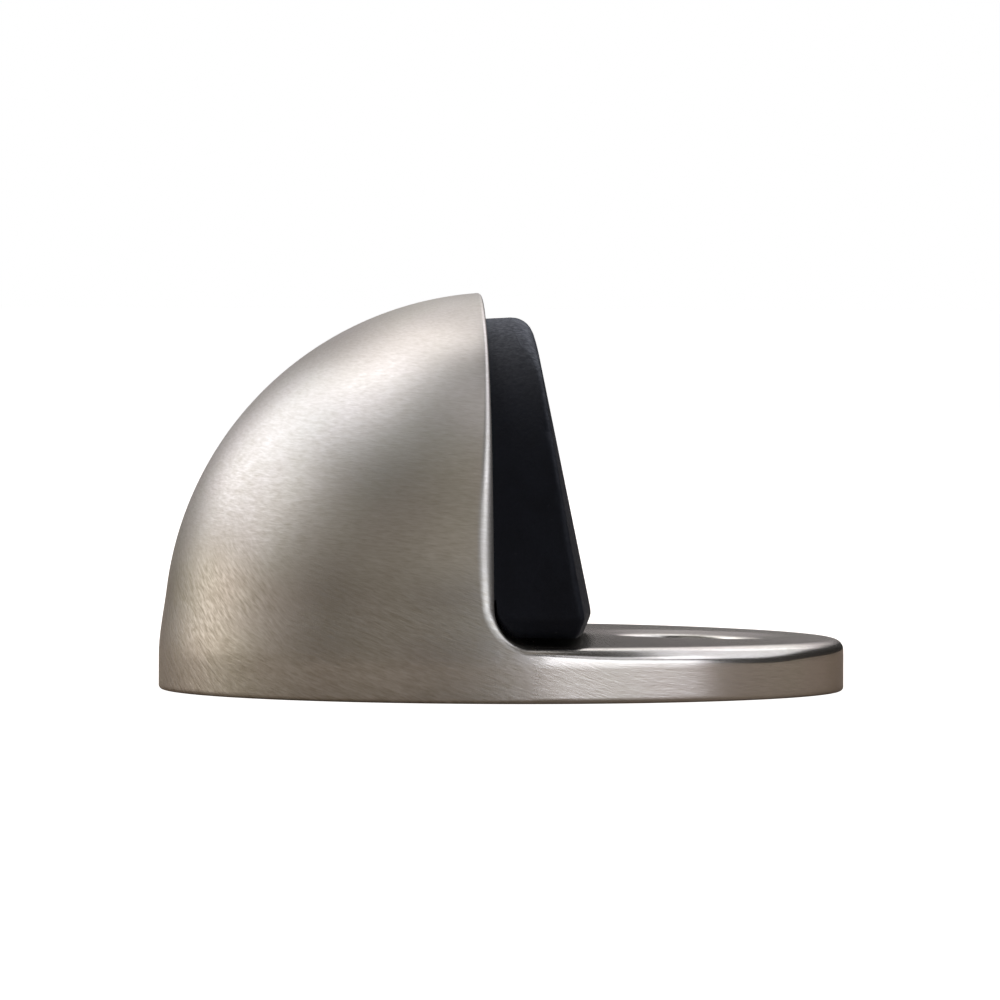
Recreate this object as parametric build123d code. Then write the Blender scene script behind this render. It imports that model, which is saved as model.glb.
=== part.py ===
from build123d import *
import math
import os

# Half-dome floor door stop. Millimetres, +Z up, origin at the centre of the
# underside, the rubber buffer faces +X. The underside stands on the floor.

# ---- driving dimensions -------------------------------------------------
base_r = 22.5          # outside radius of the base
band_z = 2.2           # height of the straight band round the foot
dome_r = 22.15         # radius of the dome
dome_z = 3.93          # height of the dome's centre
blend_z = 6.6          # where the foot's flare has run into the dome
foot_edge_r = 0.25     # broken edge round the underside

face_x = -1.41         # plane of the upright face
plate_z = 3.80         # plate's top at its middle
plate_drop = 0.26      # how far the plate's crown falls towards the rim
corner_r = 2.2         # cast fillet between face and plate
edge_r = 0.22          # softened edge round the face and the plate's top

pocket_depth = 0.8     # locating pocket in the face
pocket_gap = 0.10      # clearance round the rubber in it
pocket_z0 = 6.3        # its lower edge, just above the corner fillet

buf_r = 20.35          # half-round outline of the rubber at the face
buf_z0 = 4.10          # its underside, just clear of the plate
bevel_z = 5.33         # height where its lower edge starts to draw in
bevel_in = 0.52        # how far it draws in by the underside
buf_x0 = 5.43          # middle of the rubber's front, at height buf_xz
buf_xz = 6.63
buf_slope = 11.7       # degrees, front leans back with height
buf_crown_r = 170.0    # front is slightly crowned across its width
buf_draft = 3.0        # degrees, sides widen away from the face
buf_edge_r = 0.75      # rounded front edge

hole_x = 12.5          # screw hole
dish_r = 7.1           # shallow dish round it
dish_depth = 0.5
csk_r = 4.7            # 90 degree countersink
hole_r = 2.6           # clears a 5 mm (No. 10) screw

wall = 2.5             # dome wall
ring_w = 3.0           # foot ring on the floor
front_wall = 3.0       # wall behind the face, measured from the face
relief_z = 1.15        # relief under the plate
boss_r = 5.4           # boss round the screw hole, down to the floor

stud_y = 7.0           # studs either side of the middle
stud_z = 12.0
stud_r = 2.0           # M4
stud_hole_r = 2.2
back_t = 1.5           # steel plate in the back of the rubber
back_r = 16.2
back_z0 = 7.0
stud_head_r = 2.9      # clinched head in the plate
stud_head_t = 1.0
stud_end_x = -10.6
washer_r = 4.5
washer_hole_r = 2.15
washer_t = 0.8
nut_af = 7.0
nut_t = 3.2
nut_bore_r = 2.03

os.makedirs("parts", exist_ok=True)


def along_x(radius, x0, x1, y=0.0, z=0.0):
    """Cylinder from x0 to x1 at (y, z)."""
    return Pos((x0 + x1) / 2, y, z) * Rot(0, 90, 0) * Cylinder(radius, abs(x1 - x0))


def up(radius, z0, z1, x=0.0, y=0.0):
    """Cylinder from z0 to z1 at (x, y)."""
    return Pos(x, y, (z0 + z1) / 2) * Cylinder(radius, abs(z1 - z0))


# ---- casting: outside ---------------------------------------------------
# Section: floor, broken edge, straight band, flare into the dome, dome. It is
# drawn behind the axis, so that the seam of the round faces lies at the back.
blend_r = math.sqrt(dome_r**2 - (blend_z - dome_z) ** 2)
top_z = dome_z + dome_r
a45 = math.radians(45)
p_foot = (-(base_r - foot_edge_r), 0, 0)
p_round = (-(base_r - foot_edge_r * (1 - math.sin(a45))), 0, foot_edge_r * (1 - math.cos(a45)))
p_band0 = (-base_r, 0, foot_edge_r)
p_band1 = (-base_r, 0, band_z)
p_blend = (-blend_r, 0, blend_z)
p_top = (0, 0, top_z)
mid_a = (math.asin((blend_z - dome_z) / dome_r) + math.pi / 2) / 2
p_mid = (-dome_r * math.cos(mid_a), 0, dome_z + dome_r * math.sin(mid_a))

outline = (
    Line((0, 0, 0), p_foot)
    + ThreePointArc(p_foot, p_round, p_band0)
    + Line(p_band0, p_band1)
    + Spline(p_band1, p_blend, tangents=[(0, 0, 1), (blend_z - dome_z, 0, blend_r)])
    + ThreePointArc(p_blend, p_mid, p_top)
    + Line(p_top, (0, 0, 0))
)
body = revolve(make_face(outline), Axis.Z, 360)

# Everything in front of the face and above the slightly crowned plate is open,
# with a cast fillet in the corner.
crown_r = (21.6**2 + plate_drop**2) / (2 * plate_drop)
cutter = Pos(face_x + 20, 0, 25) * Box(40, 60, 50)
cutter -= Pos(0, 0, plate_z - crown_r) * Sphere(crown_r)
low_edge = cutter.edges().filter_by(
    lambda e: abs(e.center().X - face_x) < 0.05 and e.center().Z < 6
)
cutter = fillet(low_edge, corner_r)
body = body - cutter


def on_cut(e):
    """Edge where the cut meets the outside of the dome and the plate."""
    b = e.bounding_box()
    if b.min.X < face_x - 0.01 or b.max.Z < 3.3:
        return False
    c = e @ 0.5
    r = math.hypot(c.X, c.Y)
    if c.Z > blend_z:
        return abs(math.hypot(r, c.Z - dome_z) - dome_r) < 0.02
    return r > blend_r - 0.05


contour = body.edges().filter_by(on_cut)
body = fillet(contour, edge_r)

# ---- casting: features --------------------------------------------------
def half_round(radius, z0, x_from, x_to, taper=0.0):
    """Half-round block standing on z0, from x_from to x_to."""
    sk = Circle(radius) - Pos(0, (z0 - dome_z) - 50) * Rectangle(100, 100)
    pl = Plane(origin=(x_from, 0, dome_z), x_dir=(0, 1, 0), z_dir=(1, 0, 0))
    return extrude(pl * sk, x_to - x_from, taper=taper)


pocket = half_round(buf_r + pocket_gap, pocket_z0, face_x - pocket_depth, face_x + 2)
body -= pocket

# Dished recess, countersink and screw hole.
dish_z = plate_z - 0.5 * hole_x**2 / crown_r
dish_floor = dish_z - dish_depth
dish_ball = (dish_r**2 + dish_depth**2) / (2 * dish_depth)
csk_z = dish_floor
csk_low = csk_z - (csk_r - hole_r)
dish = Pos(hole_x, 0, dish_floor + dish_ball) * Sphere(dish_ball)
body -= dish & up(dish_r + 0.4, dish_floor - 1, dish_z + 0.35, hole_x)
body -= up(hole_r, -1, 5, hole_x)
body -= Pos(hole_x, 0, (csk_low + csk_z + 0.6) / 2) * Cone(
    hole_r, csk_r + 0.6, csk_z + 0.6 - csk_low
)
print("screw hole: cylinder z 0 ..", round(csk_low, 3), "dish floor", round(dish_floor, 3))

# Hollow of the dome, open underneath, and the relief under the plate.
in_r = base_r - ring_w
hollow = up(in_r, -1, dome_z) + Pos(0, 0, dome_z) * Sphere(dome_r - wall)
hollow = hollow & (Pos(face_x - front_wall - 20, 0, 15) * Box(40, 60, 32))
hollow_edges = hollow.edges().filter_by(
    lambda e: abs(e.center().X - (face_x - front_wall)) < 0.02 and e.center().Z > 4
)
body -= hollow
relief = up(in_r, -1, relief_z) - up(boss_r, -2, 3, hole_x)
relief = relief & (Pos(face_x + corner_r + 20.4, 0, 0) * Box(40, 60, 10))
body -= relief

# Two holes through the front wall for the studs.
for s in (-1, 1):
    body -= along_x(stud_hole_r, face_x - front_wall - 1, face_x, s * stud_y, stud_z)

export_step(body, "parts/stop_body.step")
print("body", body.is_valid, len(body.solids()), round(body.volume, 1))

# ---- rubber buffer ------------------------------------------------------
back_x = face_x - pocket_depth
rub = half_round(buf_r, buf_z0, back_x, 8.0, taper=-buf_draft)
# Trimmed to its underside again, which the draft must not lower.
rub = rub & (Pos(4, 0, buf_z0 + 20) * Box(30, 60, 40))
# Crowned front: a large cylinder leaning back with height.
front_c = Pos(buf_x0, 0, buf_xz) * Rot(0, -buf_slope, 0) * Pos(-buf_crown_r, 0, 0)
rub = rub & (front_c * Cylinder(buf_crown_r, 120))
# The front's upper edge is rounded.
front_edges = rub.edges().filter_by(
    lambda e: e.center().X > 0.3
    and e.bounding_box().min.X > back_x + 0.3
    and e.bounding_box().max.Z > 12
)
print("rubber front edges", len(front_edges))
rub = fillet(front_edges, buf_edge_r)
# Below bevel_z the front and both ends draw in towards the underside.
tan_s = math.tan(math.radians(buf_slope))
front_at = buf_x0 - tan_s * (bevel_z - buf_xz)
tip = bevel_z - buf_z0
bev = math.degrees(math.atan2(bevel_in, tip))
bev_tool = Pos(front_at, 0, bevel_z) * Rot(0, bev, 0) * Pos(10, 0, -10) * Box(20, 80, 20)
rub -= bev_tool
for s in (-1, 1):
    end_tool = (
        Pos(0, s * (buf_r + 0.30), bevel_z)
        * Rot(-s * bev, 0, 0)
        * Pos(0, s * 10, -10)
        * Box(60, 20, 20)
    )
    rub -= end_tool
# Lower back corner clears the cast fillet.
c_x, c_z = face_x + corner_r, plate_z + corner_r
clear_r = corner_r - 0.2
rub -= Pos((c_x - clear_r - 5), 0, (pocket_z0 + pocket_gap) / 2) * Box(10, 80, pocket_z0 + pocket_gap)
rub -= (
    Pos(c_x - clear_r / 2, 0, c_z / 2) * Box(clear_r, 80, c_z)
) - (Pos(c_x, 0, c_z) * Rot(90, 0, 0) * Cylinder(clear_r, 90))

# Recess in its back for the steel plate.
rub -= half_round(back_r, back_z0, back_x, back_x + back_t)
export_step(rub, "parts/rubber_buffer.step")
print("rubber", rub.is_valid, len(rub.solids()), round(rub.volume, 1))

# ---- steel plate, studs, washers, nuts ----------------------------------
plate = half_round(back_r, back_z0, back_x, back_x + back_t)
for s in (-1, 1):
    plate -= along_x(stud_r, back_x - 1, back_x + back_t + 1, s * stud_y, stud_z)
    plate -= along_x(stud_head_r, back_x + back_t - stud_head_t, back_x + back_t + 1, s * stud_y, stud_z)
export_step(plate, "parts/buffer_plate.step")

studs, washers, nuts = [], [], []
wall_x = face_x - front_wall
for s in (-1, 1):
    y = s * stud_y
    shank = along_x(stud_r, stud_end_x, back_x + back_t, y, stud_z)
    end_edge = shank.edges().filter_by(lambda e: abs(e.center().X - stud_end_x) < 0.01)
    shank = chamfer(end_edge, 0.4)
    head = along_x(stud_head_r, back_x + back_t - stud_head_t, back_x + back_t, y, stud_z)
    studs.append(shank + head)
    w = along_x(washer_r, wall_x - washer_t, wall_x, y, stud_z)
    w -= along_x(washer_hole_r, wall_x - washer_t - 1, wall_x + 1, y, stud_z)
    washers.append(w)
    x1 = wall_x - washer_t
    hexa = RegularPolygon(nut_af / 2, 6, major_radius=False)
    pl = Plane(origin=(x1 - nut_t, y, stud_z), x_dir=(0, 1, 0), z_dir=(1, 0, 0))
    n = extrude(pl * hexa, nut_t)
    # The corners are turned off at 30 degrees on both ends.
    ctr = nut_af / math.sqrt(3)
    cone_l = 2 * ctr * math.tan(math.radians(30))
    turned = along_x(ctr, x1 - nut_t, x1, y, stud_z)
    ends = turned.edges().filter_by(
        lambda e: abs(e.center().X - x1) < 0.01 or abs(e.center().X - (x1 - nut_t)) < 0.01
    )
    turned = chamfer(ends, 0.3, 0.5)
    n = n & turned
    n -= along_x(nut_bore_r, x1 - nut_t - 1, x1 + 1, y, stud_z)
    nuts.append(n)

export_step(Compound(studs), "parts/buffer_studs.step")
export_step(Compound(washers), "parts/stud_washers.step")
export_step(Compound(nuts), "parts/stud_nuts.step")
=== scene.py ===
import math

import bmesh
import bpy
import numpy as np
from mathutils import Matrix, Vector


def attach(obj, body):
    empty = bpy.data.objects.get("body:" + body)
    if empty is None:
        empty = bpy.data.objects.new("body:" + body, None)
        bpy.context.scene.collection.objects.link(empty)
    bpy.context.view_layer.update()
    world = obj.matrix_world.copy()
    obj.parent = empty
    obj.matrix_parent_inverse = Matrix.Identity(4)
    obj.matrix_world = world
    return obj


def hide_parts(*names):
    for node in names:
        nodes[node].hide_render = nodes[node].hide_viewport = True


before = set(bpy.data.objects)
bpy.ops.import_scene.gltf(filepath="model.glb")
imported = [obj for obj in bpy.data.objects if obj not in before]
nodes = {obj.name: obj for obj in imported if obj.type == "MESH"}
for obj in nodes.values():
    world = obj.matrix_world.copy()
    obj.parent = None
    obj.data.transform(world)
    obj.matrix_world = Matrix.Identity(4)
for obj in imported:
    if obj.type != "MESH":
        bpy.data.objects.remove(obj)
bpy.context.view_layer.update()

scene = bpy.context.scene


# ---------------------------------------------------------------- materials
class Tree:
    """Short helpers over one node tree."""

    def __init__(self, tree):
        self.t = tree
        self.t.nodes.clear()

    def n(self, kind, **props):
        node = self.t.nodes.new(kind)
        for k, v in props.items():
            setattr(node, k, v)
        return node

    def link(self, a, b):
        self.t.links.new(a, b)

    def put(self, node, name, value):
        s = node.inputs[name]
        if hasattr(value, "links"):
            self.link(value, s)
        else:
            s.default_value = value

    def math(self, op, a, b=None, c=None, clamp=False):
        node = self.n("ShaderNodeMath", operation=op, use_clamp=clamp)
        for i, v in enumerate((a, b, c)):
            if v is not None:
                self.put(node, i, v)
        return node.outputs[0]

    def vmath(self, op, a, b=None, scale=None):
        node = self.n("ShaderNodeVectorMath", operation=op)
        self.put(node, 0, a)
        if b is not None:
            self.put(node, 1, b)
        if scale is not None:
            self.put(node, "Scale", scale)
        return node.outputs["Value"] if op in ("DOT_PRODUCT", "LENGTH") else node.outputs[0]

    def map(self, v, a0, a1, b0, b1, smooth=False):
        node = self.n("ShaderNodeMapRange", interpolation_type="SMOOTHSTEP" if smooth else "LINEAR")
        for name, x in (("Value", v), ("From Min", a0), ("From Max", a1), ("To Min", b0), ("To Max", b1)):
            self.put(node, name, x)
        return node.outputs[0]

    def noise(self, vec, scale, detail=2.0, rough=0.5, distort=0.0):
        node = self.n("ShaderNodeTexNoise")
        self.put(node, "Vector", vec)
        self.put(node, "Scale", scale)
        self.put(node, "Detail", detail)
        self.put(node, "Roughness", rough)
        self.put(node, "Distortion", distort)
        return node.outputs["Fac"]

    def xyz(self, x, y, z):
        node = self.n("ShaderNodeCombineXYZ")
        for i, v in enumerate((x, y, z)):
            self.put(node, i, v)
        return node.outputs[0]

    def split(self, v):
        node = self.n("ShaderNodeSeparateXYZ")
        self.link(v, node.inputs[0])
        return node.outputs

    def mix(self, f, a, b):
        node = self.n("ShaderNodeMix", data_type="RGBA")
        self.put(node, 0, f)
        for i, v in ((6, a), (7, b)):
            if hasattr(v, "links"):
                self.link(v, node.inputs[i])
            else:
                node.inputs[i].default_value = (*v, 1.0)
        return node.outputs[2]


def new_material(name):
    m = bpy.data.materials.new(name)
    m.use_nodes = True
    t = Tree(m.node_tree)
    out = t.n("ShaderNodeOutputMaterial")
    bsdf = t.n("ShaderNodeBsdfPrincipled")
    t.link(bsdf.outputs[0], out.inputs[0])
    return m, t, bsdf


def brushed_nickel():
    """Warm satin nickel with short belt strokes: level round the dome, slanting down towards its foot."""
    m, t, b = new_material("satin_nickel_brushed")
    co = t.n("ShaderNodeTexCoord").outputs["Object"]
    p = t.vmath("MULTIPLY", co, (1000.0, 1000.0, 1000.0))  # millimetres
    x, y, z = t.split(p)
    ang = t.math("ABSOLUTE", t.math("ARCTAN2", y, x))
    r = t.math("SQRT", t.math("ADD", t.math("MULTIPLY", x, x), t.math("MULTIPLY", y, y)))
    side = t.math("MULTIPLY", t.math("SIGN", y), 300.0)
    u = t.math("MULTIPLY", ang, 22.0)  # round the body, from the nose (0) to the back (69)
    # Height along the skin of the dome.
    hz = t.math("DIVIDE", t.math("SUBTRACT", z, 3.93), 22.3, clamp=True)
    s = t.math("ADD", t.math("MINIMUM", z, 3.93), t.math("MULTIPLY", t.math("ARCSINE", hz), 22.15))
    us = t.math("ADD", u, side)
    rr = t.math("MULTIPLY", r, 2.2)

    def layer(deg, along, across, detail, rough):
        c, sn = math.cos(math.radians(deg)), math.sin(math.radians(deg))
        a_ = t.math("ADD", t.math("MULTIPLY", us, c), t.math("MULTIPLY", s, sn))
        d_ = t.math("SUBTRACT", t.math("MULTIPLY", s, c), t.math("MULTIPLY", us, sn))
        v = t.xyz(t.math("MULTIPLY", a_, along), t.math("MULTIPLY", d_, across), rr)
        return t.noise(v, 1.0, detail, rough)

    wob = t.noise(p, 0.22, 2.0, 0.5)
    wu = t.math("ADD", u, t.math("MULTIPLY", t.math("SUBTRACT", wob, 0.5), 26.0))
    wz = t.math("ADD", z, t.math("MULTIPLY", t.math("SUBTRACT", wob, 0.5), 9.0))
    steep = t.math("MULTIPLY", t.map(wu, 49.0, 58.0, 0.0, 1.0, True), t.map(wz, 15.0, 7.0, 0.0, 1.0, True))
    slant = t.math("MULTIPLY", t.map(wz, 12.0, 5.0, 0.0, 1.0, True), t.map(wu, 24.0, 33.0, 0.0, 1.0, True))
    back = t.map(u, 63.5, 68.5, 1.0, 0.0, True)  # level again at the middle of the back
    steep, slant = t.math("MULTIPLY", steep, back), t.math("MULTIPLY", slant, back)

    def field(along, across, detail, rough):
        f0 = layer(4, along, across, detail, rough)
        f1 = layer(19, along, across, detail, rough)
        f2 = layer(35, along, across, detail, rough)
        f = t.math("ADD", f0, t.math("MULTIPLY", slant, t.math("SUBTRACT", f1, f0)))
        return t.math("ADD", f, t.math("MULTIPLY", steep, t.math("SUBTRACT", f2, f)))

    strokes = field(1.05, 4.8, 2.0, 0.55)
    fine = field(1.7, 11.0, 1.0, 0.5)
    cloud = t.noise(p, 0.20, 3.0, 0.55)
    hue = t.noise(t.vmath("ADD", p, (31.0, 7.0, 13.0)), 0.13, 2.0, 0.5)
    # The strokes are deeper low on the back than over the top.
    deep = t.math("ADD", t.map(z, 24.0, 9.0, 0.34, 0.60), t.math("MULTIPLY", steep, 0.30))
    deep = t.math("ADD", deep, t.math("MULTIPLY", slant, 0.2), clamp=True)
    # The plate and the foot of the corner are finished a little brighter than the dome.
    bright = t.math("MULTIPLY", t.map(x, -1.0, 2.5, 0.0, 1.0, True), t.map(z, 7.0, 4.5, 0.0, 1.0, True))
    deep = t.math("MULTIPLY", deep, t.math("SUBTRACT", 1.0, t.math("MULTIPLY", bright, 0.68)))
    grain = t.math("ADD", t.math("MULTIPLY", strokes, 0.62), t.math("MULTIPLY", fine, 0.38))
    grain = t.math("MULTIPLY", t.math("SUBTRACT", grain, 0.5), deep)  # about -0.15 to 0.15
    tone = t.math("ADD", t.map(grain, -0.16, 0.16, 0.0, 1.0), t.math("MULTIPLY", t.math("SUBTRACT", cloud, 0.5), 0.5), clamp=True)
    dark = t.mix(t.map(hue, 0.35, 0.65, 0.0, 1.0), (0.500, 0.452, 0.382), (0.500, 0.466, 0.378))
    light = t.mix(t.map(hue, 0.35, 0.65, 0.0, 1.0), (0.735, 0.693, 0.640), (0.720, 0.698, 0.632))
    t.put(b, "Base Color", t.mix(tone, dark, light))
    t.put(b, "Metallic", 1.0)
    rough = t.math("SUBTRACT", t.map(grain, -0.12, 0.12, 0.42, 0.34), t.math("MULTIPLY", bright, 0.15))
    t.put(b, "Roughness", rough)
    b.inputs["Specular Tint"].default_value = (0.48, 0.44, 0.41, 1.0)
    b.inputs["Anisotropic"].default_value = 0.3
    tan = t.n("ShaderNodeTangent", direction_type="RADIAL", axis="Z")
    t.link(tan.outputs[0], b.inputs["Tangent"])
    bump = t.n("ShaderNodeBump")
    bump.inputs["Strength"].default_value = 0.5
    bump.inputs["Distance"].default_value = 0.00004
    t.put(bump, "Height", grain)
    t.link(bump.outputs[0], b.inputs["Normal"])
    return m


def black_rubber():
    """Moulded black rubber: fine pitted skin, slightly greyed where it has been handled."""
    m, t, b = new_material("black_rubber_moulded")
    co = t.n("ShaderNodeTexCoord").outputs["Object"]
    p = t.vmath("MULTIPLY", co, (1000.0, 1000.0, 1000.0))
    grain = t.noise(p, 3.5, 3.0, 0.6)
    cloud = t.noise(p, 0.30, 4.0, 0.6)
    specks = t.noise(t.vmath("ADD", p, (5.0, 9.0, 2.0)), 2.1, 2.0, 0.5)
    col = t.mix(t.map(cloud, 0.35, 0.7, 0.0, 1.0), (0.0022, 0.0029, 0.0052), (0.0052, 0.0064, 0.0104))
    col = t.mix(t.map(specks, 0.72, 0.80, 0.0, 0.35), col, (0.030, 0.031, 0.036))
    t.put(b, "Base Color", col)
    t.put(b, "Roughness", t.map(grain, 0.3, 0.7, 0.46, 0.66))
    b.inputs["Specular IOR Level"].default_value = 0.15
    bump = t.n("ShaderNodeBump")
    bump.inputs["Strength"].default_value = 0.45
    bump.inputs["Distance"].default_value = 0.00005
    t.put(bump, "Height", grain)
    t.link(bump.outputs[0], b.inputs["Normal"])
    return m


def zinc_steel():
    m, t, b = new_material("zinc_plated_steel_bright")
    co = t.n("ShaderNodeTexCoord").outputs["Object"]
    p = t.vmath("MULTIPLY", co, (1000.0, 1000.0, 1000.0))
    grain = t.noise(p, 2.0, 4.0, 0.6)
    col = t.mix(t.map(grain, 0.3, 0.7, 0.0, 1.0), (0.52, 0.54, 0.58), (0.70, 0.71, 0.73))
    t.put(b, "Base Color", col)
    t.put(b, "Metallic", 1.0)
    t.put(b, "Roughness", t.map(grain, 0.3, 0.7, 0.22, 0.36))
    return m


nickel, rubber, zinc = brushed_nickel(), black_rubber(), zinc_steel()
for name, mat in (
    ("stop_body", nickel),
    ("rubber_buffer", rubber),
    ("buffer_plate", zinc),
    ("buffer_studs", zinc),
    ("stud_washers", zinc),
    ("stud_nuts", zinc),
):
    ob = nodes[name]
    if not ob.material_slots:
        ob.data.materials.append(mat)
    for slot in ob.material_slots:
        slot.material = mat


# ---------------------------------------------------------------- casting mesh
# Same dimensions as the CAD, in millimetres.
BASE_R, BAND_Z, FOOT_R = 22.5, 2.2, 0.25
DOME_R, DOME_Z, BLEND_Z = 22.15, 3.93, 6.6
FACE_X, PLATE_Z, CORNER = -1.41, 3.80, 2.2
CROWN_R = (21.6**2 + 0.26**2) / (2 * 0.26)
HOLE_X, DISH_R, DISH_D, CSK_R, HOLE_R = 12.5, 7.1, 0.5, 4.7, 2.6
POCKET_D, POCKET_R, POCKET_Z = 0.8, 20.45, 6.3
FRONT_WALL, HOLLOW_R, RING_IN = 3.0, 19.65, 19.5
RELIEF_Z, BOSS_R = 1.15, 5.4
STUD_Y, STUD_Z, STUD_HOLE = 7.0, 12.0, 2.2
CX, CZ = FACE_X + CORNER, PLATE_Z + CORNER
BLEND_R = math.sqrt(DOME_R**2 - (BLEND_Z - DOME_Z) ** 2)
W = 64  # columns across the face and plate


def prof(z):
    """Outside radius at height z."""
    z = np.asarray(z, float)
    h = BLEND_Z - BAND_Z
    t = np.clip((z - BAND_Z) / h, 0, 1)
    m1 = -(BLEND_Z - DOME_Z) / BLEND_R * h
    r = (2 * t**3 - 3 * t**2 + 1) * BASE_R + (3 * t**2 - 2 * t**3) * BLEND_R + (t**3 - t**2) * m1
    return np.where(z > BLEND_Z, np.sqrt(np.maximum(DOME_R**2 - (z - DOME_Z) ** 2, 0)), r)


_tz = np.concatenate([np.linspace(0.2, BLEND_Z, 400), DOME_Z + DOME_R * np.sin(np.linspace(math.asin((BLEND_Z - DOME_Z) / DOME_R), math.pi / 2, 900))[1:]])
_te = np.arctan2(_tz - DOME_Z, prof(_tz))


def outside(d):
    """Point of the outside along each direction d from the dome's centre."""
    d = d / np.linalg.norm(d, axis=-1, keepdims=True)
    e = np.arcsin(np.clip(d[..., 2], -1, 1))
    z = np.interp(e, _te, _tz)
    r = prof(z)
    a = np.arctan2(d[..., 1], d[..., 0])
    return np.stack([r * np.cos(a), r * np.sin(a), z], -1)


def outside_normal(p):
    dz = 1e-3
    z = p[..., 2]
    slope = (prof(z + dz) - prof(z - dz)) / (2 * dz)
    a = np.arctan2(p[..., 1], p[..., 0])
    n = np.stack([np.cos(a), np.sin(a), -slope], -1)
    n = n / np.linalg.norm(n, axis=-1, keepdims=True)
    c = p - np.array([0, 0, DOME_Z])
    c = c / np.linalg.norm(c, axis=-1, keepdims=True)
    return np.where((z > BLEND_Z)[..., None], c, n)


def plate_top(x, y):
    """Crowned top of the plate, which also falls a little towards its nose."""
    nose = np.clip((x - 2.0) / 20.0, 0, 1)
    return PLATE_Z - (x**2 + y**2) / (2 * CROWN_R) - 0.14 * nose**2


def smooth01(t):
    t = np.clip(t, 0, 1)
    return t * t * (3 - 2 * t)


QUARTER = CORNER * math.pi / 2


def cut_surface(u, y):
    """Face (u < 0), corner fillet, plate (u > QUARTER)."""
    u, y = np.broadcast_arrays(np.asarray(u, float), np.asarray(y, float))
    b = np.clip(u / CORNER, 0, math.pi / 2)
    x = np.where(u < 0, FACE_X, np.where(u > QUARTER, CX + (u - QUARTER), CX - CORNER * np.cos(b)))
    z = np.where(u < 0, CZ - u, CZ - CORNER * np.sin(b))
    z = z + smooth01(u / QUARTER) * (plate_top(x, y) - PLATE_Z)
    return np.stack([x, y, z], -1)


def cut_u(p):
    """The u of a point on or near the cut surface."""
    x, z = p[..., 0], p[..., 2]
    b = np.arctan2(CZ - z, CX - x)
    return np.where(z >= CZ, CZ - z, np.where(x >= CX, QUARTER + x - CX, CORNER * np.clip(b, 0, math.pi / 2)))


def slerp(a, b, t):
    a = a / np.linalg.norm(a, axis=-1, keepdims=True)
    b = b / np.linalg.norm(b, axis=-1, keepdims=True)
    w_ = np.arccos(np.clip((a * b).sum(-1, keepdims=True), -1, 1))
    s = np.where(w_ < 1e-6, 1.0, np.sin(w_))
    ka = np.where(w_ < 1e-6, 1 - t, np.sin((1 - t) * w_) / s)
    kb = np.where(w_ < 1e-6, t, np.sin(t * w_) / s)
    return a * ka + b * kb


def contour_half():
    """Edge points from the top of the face, down, round the plate, to its nose (y >= 0)."""
    rho = math.sqrt(DOME_R**2 - FACE_X**2)
    ph = np.linspace(0, math.acos((BLEND_Z - DOME_Z) / rho), 400)
    part1 = np.stack([np.full(400, FACE_X), rho * np.sin(ph), DOME_Z + rho * np.cos(ph)], -1)
    z = np.linspace(BLEND_Z, CZ, 40)[1:]
    part2 = np.stack([np.full(39, FACE_X), np.sqrt(prof(z) ** 2 - FACE_X**2), z], -1)
    u = np.linspace(0, QUARTER, 120)[1:]
    y = np.full(119, 22.3)
    for _ in range(12):
        p = cut_surface(u, y)
        y = np.sqrt(prof(p[:, 2]) ** 2 - p[:, 0] ** 2)
    part3 = cut_surface(u, y)
    a0 = math.atan2(part3[-1, 1], part3[-1, 0])
    a = np.linspace(a0, 0, 420)[1:]
    r = np.full(419, 22.4)
    for _ in range(12):
        zt = plate_top(r * np.cos(a), r * np.sin(a))
        r = prof(zt)
    part4 = np.stack([r * np.cos(a), r * np.sin(a), zt], -1)
    part4[-1, 1] = 0.0
    parts = [part1, part2, part3, part4]
    p = np.concatenate(parts)
    s = np.concatenate([[0], np.cumsum(np.linalg.norm(np.diff(p, axis=0), axis=1))])
    return p, s, [len(part1) + len(part2) - 1, len(part1) + len(part2) + len(part3) - 1]


def resample(p, s, marks):
    """Even stations, with the ends of the corner fillet kept as stations."""
    cuts = [0.0, s[marks[0]], s[marks[1]], s[-1]]
    counts = [104, 26, 110]
    t = np.concatenate([np.linspace(cuts[i], cuts[i + 1], counts[i] + 1)[(1 if i else 0) :] for i in range(3)])
    q = np.stack([np.interp(t, s, p[:, k]) for k in range(3)], -1)
    q[0, 1] = 0.0
    return q, t, cuts, counts


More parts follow.
